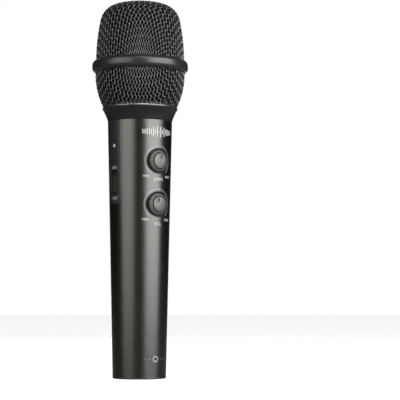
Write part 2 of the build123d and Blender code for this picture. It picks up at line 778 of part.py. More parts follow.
usb_mouth = cap_flange - usb_proud
usb_back = usb_mouth + usb_depth
inner_width = usb_width - 2 * usb_wall
inner_height = usb_height - 2 * usb_wall
with BuildPart() as usb_shell:
    with BuildSketch(Plane.XY.offset(usb_mouth)):
        with Locations((0, usb_offset)):
            RectangleRounded(usb_width, usb_height, usb_corner)
            RectangleRounded(inner_width, inner_height, usb_corner - usb_wall,
                             mode=Mode.SUBTRACT)
    extrude(amount=usb_depth)
keep(usb_shell, "usb_shell")

usb_floor = usb_back - cap_floor
with BuildPart() as usb_housing:
    with BuildSketch(Plane.XY.offset(usb_floor)):
        with Locations((0, usb_offset)):
            RectangleRounded(inner_width, inner_height, usb_corner - usb_wall)
    extrude(amount=port_board_height - usb_floor)
keep(usb_housing, "usb_housing")

with BuildPart() as usb_tongue:
    with Locations((0, usb_offset, usb_mouth + tongue_recess)):
        Box(tongue_width, tongue_thickness, usb_floor - usb_mouth - tongue_recess, align=BOTTOM)
keep(usb_tongue, "usb_tongue")

with BuildPart() as port_board:
    with Locations((0, 0, port_board_height)):
        Cylinder(plug_radius - port_board_gap, port_board_thickness, align=BOTTOM)
    add(port_screws.part, mode=Mode.SUBTRACT)
    add(jack_pins.part, mode=Mode.SUBTRACT)
keep(port_board, "port_board")

with BuildPart() as port_header:
    with Locations((0, -board_back, port_board_top)):
        Box(header_height, header_thickness, header_depth + board_bottom - port_board_top,
            align=(Align.CENTER, Align.MIN, Align.MIN))
keep(port_header, "port_header")

# ---- Capsule plug and leads ----

plug_top = board_top - header_thickness
with BuildPart() as capsule_plug:
    with Locations((0, -board_back, plug_top)):
        Box(3 * lead_spacing, plug_depth, header_height,
            align=(Align.CENTER, Align.MIN, Align.MAX))
keep(capsule_plug, "capsule_plug")

lead_back = -board_back + plug_depth / 2
with BuildPart() as capsule_leads:
    for side in (-1, 1):
        across = side * lead_spacing / 2
        with BuildLine() as route:
            FilletPolyline((across, 0, capsule_board_height), (across, 0, head_ring_top),
                           (across, lead_back, chassis_top + lead_rise), (across, lead_back, plug_top),
                           radius=lead_bend)
        with BuildSketch(Plane(origin=route.line @ 0, z_dir=route.line % 0)):
            Circle(lead_radius)
        sweep(path=route.line)
keep(capsule_leads, "capsule_leads")
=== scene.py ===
from math import atan2, cos, hypot, pi, radians, sin

import bpy
import numpy as np
from mathutils import Matrix, Vector


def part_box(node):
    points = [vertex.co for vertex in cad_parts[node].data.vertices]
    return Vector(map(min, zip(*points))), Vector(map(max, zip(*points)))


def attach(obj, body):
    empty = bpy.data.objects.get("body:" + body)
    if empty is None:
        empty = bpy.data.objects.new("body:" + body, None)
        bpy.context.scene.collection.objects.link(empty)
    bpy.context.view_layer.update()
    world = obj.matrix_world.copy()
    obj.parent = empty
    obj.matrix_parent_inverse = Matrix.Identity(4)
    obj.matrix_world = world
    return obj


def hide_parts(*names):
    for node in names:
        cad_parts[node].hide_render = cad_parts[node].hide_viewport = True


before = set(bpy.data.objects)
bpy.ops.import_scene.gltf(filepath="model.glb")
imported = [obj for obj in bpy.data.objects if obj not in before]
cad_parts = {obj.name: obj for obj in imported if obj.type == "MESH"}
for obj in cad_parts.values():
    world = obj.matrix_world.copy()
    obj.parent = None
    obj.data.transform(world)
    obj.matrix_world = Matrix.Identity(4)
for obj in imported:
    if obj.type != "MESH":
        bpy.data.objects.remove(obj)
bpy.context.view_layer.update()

MM = 0.001

# ---- Camera ----
# The microphone stands upright and is seen from a little above its tail, turned so that the
# dials are on the right and the switch panel on the left.

camera_azimuth = -36.0
camera_distance = 0.770
camera_height = 0.0387
camera_pitch = 3.96
camera_pan = 2.325
camera_lens = 133.8
bpy.ops.object.camera_add(
    location=(camera_distance * sin(radians(camera_azimuth)),
              -camera_distance * cos(radians(camera_azimuth)), camera_height),
    rotation=(radians(90 + camera_pitch), 0, radians(camera_azimuth - camera_pan)))
camera = bpy.context.object
camera.data.sensor_width = 36
camera.data.lens = camera_lens
camera.data.clip_start = 0.05
bpy.context.scene.camera = camera

# ---- Studio ----
# Two wide softboxes give the metal handle its two stripes of light, a small one overhead
# lights the grille, one behind lights the back, and a pale surround fills the rest.

softbox_distance = 0.80
lit_height = 0.12            # height on the microphone that every softbox faces
surround_strength = 0.035


def softbox(name, azimuth, height, size, power, colour):
    """Area light on a circle round the microphone, at an azimuth from the camera's."""
    turn = radians(camera_azimuth + azimuth)
    place = Vector((softbox_distance * sin(turn), -softbox_distance * cos(turn), height))
    aim = Vector((0, 0, lit_height)) - place
    bpy.ops.object.light_add(type="AREA", location=place,
                             rotation=aim.to_track_quat("-Z", "Y").to_euler())
    light = bpy.context.object
    light.name = name
    light.data.shape = "RECTANGLE"
    light.data.size, light.data.size_y = size
    light.data.energy = power
    light.data.color = colour
    light.visible_camera = False


softbox("right_softbox", 51, 0.32, (0.92, 0.74), 18.0, (1.0, 1.0, 1.0))
softbox("left_softbox", -47, 0.34, (0.78, 0.74), 7.0, (1.0, 0.985, 0.94))
softbox("top_softbox", 10, 0.85, (0.5, 0.5), 3.0, (1.0, 1.0, 1.0))
softbox("rear_softbox", 180, 0.34, (0.42, 0.74), 2.5, (1.0, 1.0, 1.0))

world = bpy.data.worlds.new("studio_surround")
bpy.context.scene.world = world
world.use_nodes = True
surround = world.node_tree
surround_light = surround.nodes["Background"]
surround_light.inputs["Color"].default_value = (1.0, 1.0, 1.0, 1.0)
surround_light.inputs["Strength"].default_value = surround_strength
seen_surround = surround.nodes.new("ShaderNodeBackground")
seen_surround.inputs["Color"].default_value = (1.0, 1.0, 1.0, 1.0)
ray_kind = surround.nodes.new("ShaderNodeLightPath")
chooser = surround.nodes.new("ShaderNodeMixShader")
surround.links.new(ray_kind.outputs["Is Camera Ray"], chooser.inputs["Fac"])
surround.links.new(surround_light.outputs[0], chooser.inputs[1])
surround.links.new(seen_surround.outputs[0], chooser.inputs[2])
surround.links.new(chooser.outputs[0], surround.nodes["World Output"].inputs["Surface"])
bpy.context.scene.view_settings.view_transform = "Standard"

# ---- Handle ----
# Tapered aluminium tube, bead-blasted and anodised gunmetal, so its stripes of light are
# soft-edged. A window is milled in its left side and two round wells in its front.


class Term:
    """A value inside a finish: arithmetic on it adds Math nodes."""

    def __init__(self, finish, socket):
        self.finish = finish
        self.socket = socket

    def math(self, operation, first, second=0.0):
        return self.finish.node("ShaderNodeMath", {"operation": operation}, {0: first, 1: second})

    def __add__(self, other):
        return self.math("ADD", self, other)

    def __sub__(self, other):
        return self.math("SUBTRACT", self, other)

    def __rsub__(self, other):
        return self.math("SUBTRACT", other, self)

    def __mul__(self, other):
        return self.math("MULTIPLY", self, other)

    def __gt__(self, other):
        return self.math("GREATER_THAN", self, other)

    def __abs__(self):
        return self.math("ABSOLUTE", self)


class Finish:
    """A material: constants on its shader's sockets, and nodes for what varies."""

    def __init__(self, name, **constants):
        self.material = bpy.data.materials.new(name)
        self.material.use_nodes = True
        self.tree = self.material.node_tree
        self.shader = self.tree.nodes["Principled BSDF"]
        for socket, value in constants.items():
            self.set(socket.replace("_", " "), value)

    def node(self, kind, settings=None, sockets=None, output=0):
        """A node of any type, with its settings made before its sockets are fed."""
        made = self.tree.nodes.new(kind)
        for key, value in (settings or {}).items():
            setattr(made, key, value)
        for key, value in (sockets or {}).items():
            self.feed(made.inputs[key], value)
        return Term(self, made.outputs[output])

    def feed(self, socket, value):
        if isinstance(value, Term):
            self.tree.links.new(value.socket, socket)
        else:
            socket.default_value = value

    def set(self, socket, value):
        if isinstance(value, tuple) and len(value) == 3 and "Color" in socket:
            value = (*value, 1.0)
        self.feed(self.shader.inputs[socket], value)

    def place(self, centre=(0, 0, 0), scale=(1, 1, 1)):
        """Object coordinates, in metres, from a centre and stretched."""
        coordinates = self.node("ShaderNodeTexCoord", output="Object")
        moved = self.node("ShaderNodeVectorMath", {"operation": "SUBTRACT"},
                          {0: coordinates, 1: centre})
        return self.node("ShaderNodeVectorMath", {"operation": "MULTIPLY"}, {0: moved, 1: scale})

    def length(self, vector):
        return self.node("ShaderNodeVectorMath", {"operation": "LENGTH"}, {0: vector}, output=1)

    def noise(self, scale, detail=2.0, at=None):
        """Noise with about scale features to the metre."""
        return self.node("ShaderNodeTexNoise", {},
                         {"Vector": at or self.place(), "Scale": scale, "Detail": detail})

    def blend(self, factor, first, second):
        """Colour that runs from first to second as factor rises."""
        return self.node("ShaderNodeMix", {"data_type": "RGBA"},
                         {"Factor": factor, "A": (*first, 1.0), "B": (*second, 1.0)}, output=2)

    def bump(self, height, distance):
        self.set("Normal", self.node("ShaderNodeBump", {},
                                     {"Height": height, "Distance": distance}))

    def mottle(self, scale, detail, dark, light, roughness=None, bump=None):
        """One noise runs the colour from dark to light, and the roughness and bump with it."""
        noise = self.noise(scale, detail)
        self.set("Base Color", self.blend(noise, dark, light))
        if roughness:
            smoothest, roughest = roughness
            self.set("Roughness", noise * (roughest - smoothest) + smoothest)
        if bump:
            self.bump(noise, bump)


def dress(finish, *nodes):
    """Give CAD nodes their finish."""
    for node in nodes:
        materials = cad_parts[node].data.materials
        materials.clear()
        materials.append(finish.material)


def deselect_all():
    bpy.ops.object.select_all(action="DESELECT")


def copied(node, name):
    """A merged copy of a CAD node's mesh, active and alone in the selection."""
    deselect_all()
    piece = bpy.data.objects.new(name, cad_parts[node].data.copy())
    bpy.context.collection.objects.link(piece)
    piece.select_set(True)
    bpy.context.view_layer.objects.active = piece
    bpy.ops.object.mode_set(mode="EDIT")
    bpy.ops.mesh.select_all(action="SELECT")
    bpy.ops.mesh.remove_doubles(threshold=0.001 * MM)
    bpy.ops.mesh.dissolve_limited(angle_limit=radians(0.3))
    bpy.ops.object.mode_set(mode="OBJECT")
    return piece


def place_piece(piece, finish, body, slot, *nodes):
    """Finish a piece, attach it to what it rides on, and hide the CAD nodes that it stands for."""
    piece.data.materials.clear()
    piece.data.materials.append(finish.material)
    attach(piece, body)
    if nodes:
        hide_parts(*nodes)


sharp_angle = radians(32)    # edges sharper than this are rounded
smooth_angle = radians(38)   # faces that meet more gently than this are shaded as one


def soften(piece, edge):
    """Round a piece's sharp edges."""
    bevel = piece.modifiers.new("edges", "BEVEL")
    bevel.width = edge
    bevel.segments = 2
    bevel.limit_method = "ANGLE"
    bevel.angle_limit = sharp_angle
    bevel.use_clamp_overlap = True
    bpy.ops.object.modifier_apply(modifier="edges")
    bpy.ops.object.shade_smooth_by_angle(angle=smooth_angle)


def rounded(node, name, edge, finish, slot, body="microphone"):
    """A copy of a CAD node with its sharp edges broken, in place of the node."""
    piece = copied(node, name)
    soften(piece, edge)
    place_piece(piece, finish, body, slot, node)


tube_corners = np.array([vertex.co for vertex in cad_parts["body_tube"].data.vertices])
tube_radii = np.hypot(tube_corners[:, 0], tube_corners[:, 1])
tube_low, tube_high = tube_corners[:, 2].min(), tube_corners[:, 2].max()
tail_radius = tube_radii[tube_corners[:, 2] < tube_low + 0.01 * MM].max()
taper = (tube_radii.max() - tail_radius) / (tube_high - tube_low)


def handle_radius(height):
    return tail_radius + taper * (height - tube_low)


def shade_as_cone(piece):
    """Shade a piece's outside as the smooth taper that it is cut from."""
    mesh = piece.data
    normals = [corner.vector.copy() for corner in mesh.corner_normals]
    for face in mesh.polygons:
        for corner, index in zip(face.loop_indices, face.vertices):
            spot = mesh.vertices[index].co
            radius = hypot(spot.x, spot.y)
            outward = Vector((spot.x, spot.y, -taper * radius)).normalized()
            if radius > handle_radius(spot.z) - 0.02 * MM and face.normal @ outward > 0.95:
                normals[corner] = outward
    mesh.normals_split_custom_set(normals)


anodised = Finish("gunmetal_anodising", Metallic=1.0)
blast = anodised.noise(9000, detail=3)
drift = anodised.noise(60, detail=2)
anodised.set("Base Color", anodised.blend(drift, (0.052, 0.052, 0.050), (0.060, 0.060, 0.058)))
anodised.set("Roughness", drift * 0.05 + blast * 0.06 + 0.22)
anodised.bump(blast, 0.02 * MM)
tube = copied("body_tube", "handle_tube")
bpy.ops.object.shade_smooth_by_angle(angle=smooth_angle)
shade_as_cone(tube)
place_piece(tube, anodised, "microphone", "handle_anodised", "body_tube")

# ---- Seal and inner rings ----
# A rubber washer seals the collar to the handle. The rings that join the head to the handle
# and carry the skirt are turned aluminium, with the tool's fine rings round them.

rubber = Finish("seal_rubber_black", Roughness=0.8, Specular_IOR_Level=0.3)
rubber.mottle(1800, 3, (0.006, 0.006, 0.006), (0.011, 0.011, 0.011), bump=0.02 * MM)
dress(rubber, "collar_seal", "shock_ring")

turned = Finish("turned_aluminium", Metallic=1.0)
tool_rings = turned.noise(1.0, detail=3, at=turned.place(scale=(60, 60, 9000)))
turned.set("Base Color", turned.blend(tool_rings, (0.50, 0.50, 0.51), (0.66, 0.66, 0.67)))
turned.set("Roughness", tool_rings * 0.2 + 0.22)
turned.bump(tool_rings, 0.02 * MM)
dress(turned, "grille_base_ring", "head_ring")

# ---- Capsule ----
# Dynamic capsule in a nickel-plated brass can: a drilled cover, a clamped diaphragm with
# pressed rings, a drilled backplate and a small board. It hangs on a rubber ring in a cradle.

plated = Finish("nickel_plate", Metallic=1.0)
plated.mottle(400, 4, (0.52, 0.50, 0.46), (0.66, 0.64, 0.60), roughness=(0.16, 0.31))
dress(plated, "capsule_housing", "capsule_cover", "capsule_clamp_ring")

film = Finish("gold_film", Metallic=1.0, Roughness=0.18)
film.mottle(300, 2, (0.80, 0.58, 0.24), (0.90, 0.70, 0.34))
pressed_rings = film.node("ShaderNodeMath", {"operation": "SINE"},
                          {0: film.length(film.place(scale=(1, 1, 0))) * (2 * pi / (0.9 * MM))})
film.bump(pressed_rings, 0.04 * MM)
dress(film, "capsule_diaphragm")

brass = Finish("drilled_brass", Metallic=1.0)
brass.mottle(500, 4, (0.50, 0.34, 0.13), (0.68, 0.49, 0.22), roughness=(0.22, 0.42))
dress(brass, "capsule_backplate", "jack_pins")

# ---- Circuit boards and their parts ----
# Glass-fibre boards under green solder mask with tinned vias, black moulded chips and cans,
# and tall cream connectors. The capsule's two leads run down to a plug on the main board.

mask_ink = Finish("green_solder_mask", Specular_IOR_Level=0.5, Coat_Weight=0.4)
traces = mask_ink.node("ShaderNodeTexBrick", {"offset": 0.5, "squash_frequency": 3},
                       {"Vector": mask_ink.place(scale=(1, 1.3, 0.7)), "Scale": 700.0,
                        "Mortar Size": 0.03, "Color1": (0.0, 0.0, 0.0, 1.0),
                        "Color2": (0.2, 0.2, 0.2, 1.0), "Mortar": (1.0, 1.0, 1.0, 1.0)})
vias = mask_ink.node("ShaderNodeTexVoronoi", {}, {"Vector": mask_ink.place(), "Scale": 420.0})
tinned = 1 - (vias > 0.16)
mask_ink.set("Base Color", mask_ink.blend(tinned, (0.008, 0.075, 0.030), (0.55, 0.54, 0.50)))
mask_ink.set("Roughness", traces * 0.12 + 0.24)
mask_ink.set("Metallic", tinned)
mask_ink.bump(traces, 0.03 * MM)
dress(mask_ink, "main_board", "switch_board", "port_board", "capsule_board")

moulding = Finish("chip_epoxy", Specular_IOR_Level=0.4)
moulding.mottle(5000, 3, (0.012, 0.012, 0.013), (0.028, 0.028, 0.030),
                roughness=(0.50, 0.70), bump=0.03 * MM)
dress(moulding, "main_board_chips", "slide_switch")

nylon = Finish("cream_nylon", Subsurface_Weight=0.1, Subsurface_Radius=(0.001, 0.001, 0.001))
nylon.mottle(1200, 3, (0.60, 0.55, 0.43), (0.70, 0.66, 0.55), roughness=(0.38, 0.53))
dress(nylon, "port_header", "switch_header", "capsule_plug")

sleeving = Finish("lead_sleeving", Roughness=0.45)
across = sleeving.node("ShaderNodeSeparateXYZ", {}, {0: sleeving.place()})
sleeving.set("Base Color", sleeving.blend(across > 0.0, (0.015, 0.015, 0.016), (0.42, 0.02, 0.015)))
sleeving.bump(sleeving.noise(3000), 0.02 * MM)
dress(sleeving, "capsule_leads")

# ---- Chassis, cradle and screws ----
# Spark-textured black moulding that slides into the handle and carries the boards, the cradle
# for the capsule, and zinc-plated self-tapping screws.

spark = Finish("spark_textured_plastic", Specular_IOR_Level=0.4)
spark.mottle(2600, 4, (0.016, 0.016, 0.017), (0.030, 0.030, 0.031),
             roughness=(0.45, 0.70), bump=0.06 * MM)
dress(spark, "chassis", "capsule_cradle")

zinc = Finish("zinc_plate", Metallic=1.0)
zinc.mottle(900, 3, (0.45, 0.46, 0.50), (0.62, 0.63, 0.64), roughness=(0.25, 0.45))
dress(zinc, "board_screws", "port_screws", "gain_shaft", "volume_shaft")

pressed_tin = Finish("tinned_pot_case", Metallic=1.0)
spangle = pressed_tin.node("ShaderNodeTexVoronoi", {},
                           {"Vector": pressed_tin.place(), "Scale": 900.0})
pressed_tin.set("Base Color", pressed_tin.blend(spangle, (0.48, 0.47, 0.44), (0.66, 0.65, 0.62)))
pressed_tin.set("Roughness", spangle * 0.2 + 0.25)
dress(pressed_tin, "gain_pot", "volume_pot")

# ---- Dials ----
# Each dial is a black moulding with a flat skirt and a coned grip, whose ribs are rubbed grey,
# and a spun aluminium disc with a pointer dimple is let into its top, with painted shade darkening
# the dimple's edge. It turns in a thin black ring that lines its well.

rib_count = 26
rib_depth = 0.45 * MM
rib_root = 0.05 * MM         # flat margin round each groove
skirt_radius = 5.9 * MM
skirt_height = 0.9 * MM
skirt_sink = 1.2 * MM        # back of the skirt behind the handle's front line
dial_rise = 1.65 * MM        # top of the dial above the handle's front line
cone_foot_radius = 5.6 * MM
cone_top_radius = 4.35 * MM
foot_height = 0.3 * MM       # upright foot below the cone
foot_lean = 0.1 * MM
land_height = 0.2 * MM       # chamfer from the cone to the flat land round the disc
disc_seat_radius = 3.72 * MM
disc_seat_depth = 0.5 * MM
cone_height = dial_rise + skirt_sink - skirt_height - foot_height - land_height
cone_lean = (cone_foot_radius - foot_lean - cone_top_radius) / cone_height
rubbed_depth = 0.12 * MM     # how far down a rib's sides it is rubbed
dimple_radius = 0.8 * MM
dimple_shade_width = 0.16 * MM     # width of the painted shade, each side of the dimple's edge

bezel_plastic = Finish("bezel_plastic_black", Specular_IOR_Level=0.15)
bezel_plastic.mottle(3000, 3, (0.005, 0.005, 0.005), (0.009, 0.009, 0.009),
                     roughness=(0.42, 0.57), bump=0.03 * MM)


def dial_plastic(name, cone_foot):
    """Matt black, rubbed grey on the ribs, which stand out from the cone's grooves."""
    plastic = Finish(f"{name}_dial_plastic", Specular_IOR_Level=0.15)
    tooth = plastic.noise(3500, detail=3)
    from_axis = plastic.length(plastic.place(cone_foot, scale=(1, 0, 1)))
    rise = plastic.node("ShaderNodeSeparateXYZ", {}, {0: plastic.place(cone_foot, (1, -1, 1))},
                        output=1)
    proud = from_axis + rise * cone_lean + tooth * rubbed_depth
    on_rib = ((proud > cone_foot_radius - foot_lean - rubbed_depth) * (rise > 0.1 * MM)
              * (1 - (rise > cone_height - 0.02 * MM)))
    plastic.set("Base Color", plastic.blend(on_rib, (0.004, 0.004, 0.004), (0.17, 0.17, 0.165)))
    plastic.set("Roughness", tooth * 0.15 + 0.36)
    plastic.bump(tooth, 0.02 * MM)
    return plastic


def spun_disc(name, centre, dimple):
    """Aluminium turned in fine rings, darkened round the dimple's edge by painted shade."""
    spun = Finish(f"{name}_spun_aluminium", Metallic=1.0)
    lines = spun.node("ShaderNodeTexNoise", {"noise_dimensions": "1D"},
                      {"W": spun.length(spun.place(centre, scale=(1, 0, 1))),
                       "Scale": 9000.0, "Detail": 2.0})
    # Painted shade: a dark ring round the dimple's edge stands in for the shade on its wall.
    off_edge = abs(spun.length(spun.place(dimple, scale=(1, 0, 1))) - dimple_radius)
    outside_dimple_shade = off_edge > dimple_shade_width
    spun.set("Base Color", spun.blend(outside_dimple_shade * (lines * 0.4 + 0.6), (0.004, 0.004, 0.004),
                                      (0.105, 0.105, 0.10)))
    spun.set("Roughness", lines * 0.15 + 0.42)
    spun.bump(lines, 0.02 * MM)
    return spun


def pick_faces(piece, wanted):
    """Select, in edit mode, just the faces that are wanted."""
    bpy.ops.mesh.select_all(action="DESELECT")
    bpy.ops.object.mode_set(mode="OBJECT")
    for face in piece.data.polygons:
        face.select = bool(wanted(face))
    bpy.ops.object.mode_set(mode="EDIT")
    bpy.ops.mesh.select_mode(type="FACE")


def ribbed_dial(name, body, centre):
    """Turned up from a disc facing the front, with grooves pressed into its cone."""
    back = centre.y + dial_rise + skirt_sink
    sides = 4 * rib_count    # two for each rib and two for the groove beside it
    deselect_all()
    bpy.ops.mesh.primitive_circle_add(vertices=sides, radius=skirt_radius, fill_type="NGON",
                                      location=(0, 0, 0), rotation=(pi / 2, 0, 0))
    dial = bpy.context.object
    dial.name = dial.data.name = f"{name}_ribbed_dial"
    bpy.ops.object.transform_apply(location=True, rotation=True, scale=True)
    bpy.ops.object.mode_set(mode="EDIT")
    bpy.ops.mesh.select_all(action="SELECT")
    radius = skirt_radius
    for rise, next_radius in ((skirt_height, skirt_radius), (0, cone_foot_radius),
                              (foot_height, cone_foot_radius - foot_lean),
                              (cone_height, cone_top_radius),
                              (land_height, cone_top_radius - land_height),
                              (0, disc_seat_radius), (-disc_seat_depth, disc_seat_radius)):
        bpy.ops.mesh.extrude_region_move(TRANSFORM_OT_translate={"value": (0, -rise, 0)})
        ratio = next_radius / radius
        bpy.ops.transform.resize(value=(ratio, 1, ratio), center_override=(0, 0, 0))
        radius = next_radius
    bpy.ops.object.mode_set(mode="OBJECT")
    dial.data.transform(Matrix.Translation((centre.x, back, centre.z)))
    bpy.ops.object.mode_set(mode="EDIT")
    cone_foot = back - skirt_height - foot_height

    def in_groove(face):
        around = atan2(face.center.x - centre.x, face.center.z - centre.z) * sides / (2 * pi)
        on_cone = abs(face.center.y - cone_foot + cone_height / 2) < 0.1 * MM
        return on_cone and round(around - 0.5) % 4 < 2

    pick_faces(dial, in_groove)
    bpy.ops.mesh.inset(thickness=rib_root, depth=-rib_depth)
    bpy.ops.mesh.select_all(action="SELECT")
    bpy.ops.mesh.normals_make_consistent(inside=False)
    bpy.ops.object.mode_set(mode="OBJECT")
    bpy.ops.object.shade_smooth_by_angle(angle=radians(30))
    place_piece(dial, dial_plastic(name, (centre.x, cone_foot, centre.z)), body, "dial_plastic",
                f"{name}_dial")


for name, body in (("gain", "gain_dial"), ("volume", "volume_dial")):
    low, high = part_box(f"{name}_dial_cap")
    centre = Vector(((low.x + high.x) / 2, low.y, (low.z + high.z) / 2))
    corners = np.array([vertex.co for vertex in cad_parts[f"{name}_dial_cap"].data.vertices])
    dimple_floor = corners[(corners[:, 1] > low.y + 0.1 * MM) & (corners[:, 1] < high.y - 0.1 * MM)]
    dimple = tuple((dimple_floor.min(axis=0) + dimple_floor.max(axis=0)) / 2)
    rounded(f"{name}_dial_cap", f"{name}_spun_disc", 0.08 * MM, spun_disc(name, centre, dimple),
            "dial_silver", body)
    rounded(f"{name}_bezel", f"{name}_well_ring", 0.08 * MM, bezel_plastic, "bezel_plastic")
    ribbed_dial(name, body, centre)

# ---- Switch panel ----
# Satin black moulding that fills the window down the handle's left side. A ridged slider
# moves up for on in its stadium-shaped recess, and a small lens above it shows the light.

panel_plastic = Finish("panel_plastic_black", Specular_IOR_Level=0.5)
panel_plastic.mottle(3000, 3, (0.010, 0.010, 0.011), (0.016, 0.016, 0.017),
                     roughness=(0.30, 0.42), bump=0.02 * MM)

panel_low, panel_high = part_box("switch_panel")
panel_corner = 3.0 * MM
panel_groove = 0.45 * MM     # chamfer round the panel's outline, down into the window


def on_outline(spot):
    """Whether a corner of the panel is on its outer edge and not at the recess or the lens."""
    outside = hypot(spot.x, spot.y) > handle_radius(spot.z) - 0.05 * MM
    at_side = abs(spot.y) > panel_high.y - 0.05 * MM
    at_foot = spot.z < panel_low.z + panel_corner + 0.05 * MM
    return outside and (at_side or at_foot)


panel = copied("switch_panel", "panel_moulding")
bpy.ops.object.mode_set(mode="EDIT")
bpy.ops.mesh.select_mode(type="EDGE")
bpy.ops.mesh.select_all(action="DESELECT")
bpy.ops.object.mode_set(mode="OBJECT")
for edge in panel.data.edges:
    edge.select = all(on_outline(panel.data.vertices[end].co) for end in edge.vertices)
bpy.ops.object.mode_set(mode="EDIT")
bpy.ops.mesh.bevel(offset=panel_groove, segments=2)
bpy.ops.object.mode_set(mode="OBJECT")
soften(panel, 0.1 * MM)
shade_as_cone(panel)
place_piece(panel, panel_plastic, "microphone", "panel_plastic", "switch_panel")

slider_plastic = Finish("slider_plastic_black", Specular_IOR_Level=0.5)
slider_plastic.mottle(4000, 3, (0.014, 0.014, 0.014), (0.024, 0.024, 0.024),
                      roughness=(0.33, 0.48), bump=0.02 * MM)
rounded("switch_slider", "slider_button", 0.06 * MM, slider_plastic, "slider_plastic",
        "switch_button")

diffuser = Finish("lens_diffuser", Transmission_Weight=0.35, IOR=1.49)
diffuser.mottle(2500, 2, (0.52, 0.54, 0.55), (0.66, 0.68, 0.69), roughness=(0.22, 0.37))
dress(diffuser, "led_lens")

led_resin = Finish("led_resin", Roughness=0.4)
led_resin.mottle(2500, 2, (0.70, 0.70, 0.66), (0.80, 0.79, 0.70))
dress(led_resin, "status_led")

# ---- Tail cap and sockets ----
# Black moulded cap pressed into the tail, with a rim, a bevel and a recessed floor. The
# headphone jack's nickel ring and the port's drawn steel shell stand just proud of the floor.

cap_plastic = Finish("cap_plastic_black", Specular_IOR_Level=0.5)
cap_plastic.mottle(3000, 4, (0.010, 0.010, 0.010), (0.016, 0.016, 0.016),
                   roughness=(0.30, 0.45), bump=0.03 * MM)
rounded("base_cap", "tail_cap", 0.12 * MM, cap_plastic, "cap_plastic")

nickel = Finish("bright_nickel", Metallic=1.0)
nickel.mottle(1500, 4, (0.68, 0.66, 0.60), (0.80, 0.78, 0.72), roughness=(0.16, 0.31))
rounded("jack_ring", "jack_mouth_ring", 0.12 * MM, nickel, "socket_nickel")
rounded("usb_shell", "port_mouth_shell", 0.08 * MM, nickel, "socket_nickel")
dress(moulding, "jack_body", "usb_housing")

contacts = Finish("port_tongue", Specular_IOR_Level=0.5)
along = contacts.node("ShaderNodeSeparateXYZ", {}, {0: contacts.place()})
strip = abs(contacts.node("ShaderNodeMath", {"operation": "PINGPONG"},
                          {0: along, 1: 0.25 * MM})) > 0.12 * MM
contacts.set("Base Color", contacts.blend(strip, (0.30, 0.30, 0.30), (0.78, 0.66, 0.42)))
contacts.set("Metallic", strip)
contacts.set("Roughness", contacts.noise(2500) * 0.15 + 0.25)
dress(contacts, "usb_tongue")

# ---- Printed marks ----
# Pale grey ink, pad-printed a few hundredths of a millimetre thick and wrapped round the
# handle: scales and words at the dials and the switch, a row of level bars under the collar,
# a heart-shaped pickup pattern near the tail, and plain symbols beside the two sockets.

ink_thickness = 0.05 * MM
line_width = 0.3 * MM
capital_share = 0.7          # height of a capital letter as a share of the font's size
ink = Finish("pale_grey_ink", Roughness=0.5)
ink.mottle(4000, 3, (0.30, 0.30, 0.29), (0.38, 0.38, 0.37), bump=0.01 * MM)


def on_handle(azimuth):
    """Mapping from a flat mark, across and up, to the handle's surface at an azimuth."""
    def wrapped(point):
        radius = handle_radius(point.y)
        turn = radians(azimuth) + point.x / radius
        return Vector(((radius + point.z) * sin(turn), -(radius + point.z) * cos(turn), point.y))
    return wrapped


def printed(name, marks, mapping):
    """Join flat marks, give them the ink's thickness and lay them on a surface."""
    deselect_all()
    for mark in marks:
        mark.select_set(True)
    bpy.context.view_layer.objects.active = marks[0]
    if len(marks) > 1:
        bpy.ops.object.join()
    piece = bpy.context.object
    piece.name = piece.data.name = name
    bpy.ops.object.transform_apply(location=True, rotation=True, scale=True)
    film_layer = piece.modifiers.new("film", "SOLIDIFY")
    film_layer.thickness = ink_thickness
    film_layer.offset = 0.0
    bpy.ops.object.modifier_apply(modifier="film")
    for vertex in piece.data.vertices:
        vertex.co = mapping(vertex.co)
    bpy.ops.object.mode_set(mode="EDIT")
    bpy.ops.mesh.select_all(action="SELECT")
    bpy.ops.mesh.normals_make_consistent(inside=False)
    bpy.ops.object.mode_set(mode="OBJECT")
    place_piece(piece, ink, "microphone", "led_white")


def word(text, height, across, up):
    """A word in plain capitals, centred on a place."""
    deselect_all()
    bpy.ops.object.text_add(location=(across, up, 0))
    letters = bpy.context.object
    letters.data.body = text
    letters.data.size = height / capital_share
    letters.data.align_x = "CENTER"
    letters.data.align_y = "CENTER"
    letters.data.resolution_u = 3
    bpy.ops.object.convert(target="MESH")
    return bpy.context.object


def bar(across, up, width, height, turn=0.0):
    """A flat rectangle, centred on a place and turned clockwise."""
    deselect_all()
    bpy.ops.mesh.primitive_plane_add(size=1, location=(across, up, 0), rotation=(0, 0, -turn))
    strip = bpy.context.object
    strip.scale = (width, height, 1)
    bpy.ops.object.transform_apply(location=True, rotation=True, scale=True)
    return strip


def stroke(points, width):
    """A flat line of even width along points."""
    spots = [Vector((across, up, 0)) for across, up in points]
    corners, faces = [], []
    for index, spot in enumerate(spots):
        ahead = spots[min(index + 1, len(spots) - 1)] - spots[max(index - 1, 0)]
        side = Vector((-ahead.y, ahead.x, 0)).normalized() * width / 2
        corners += [spot + side, spot - side]
        if index:
            faces.append((2 * index - 2, 2 * index - 1, 2 * index + 1, 2 * index))
    ribbon = bpy.data.meshes.new("stroke")
    ribbon.from_pydata(corners, [], faces)
    line = bpy.data.objects.new("stroke", ribbon)
    bpy.context.collection.objects.link(line)
    return line


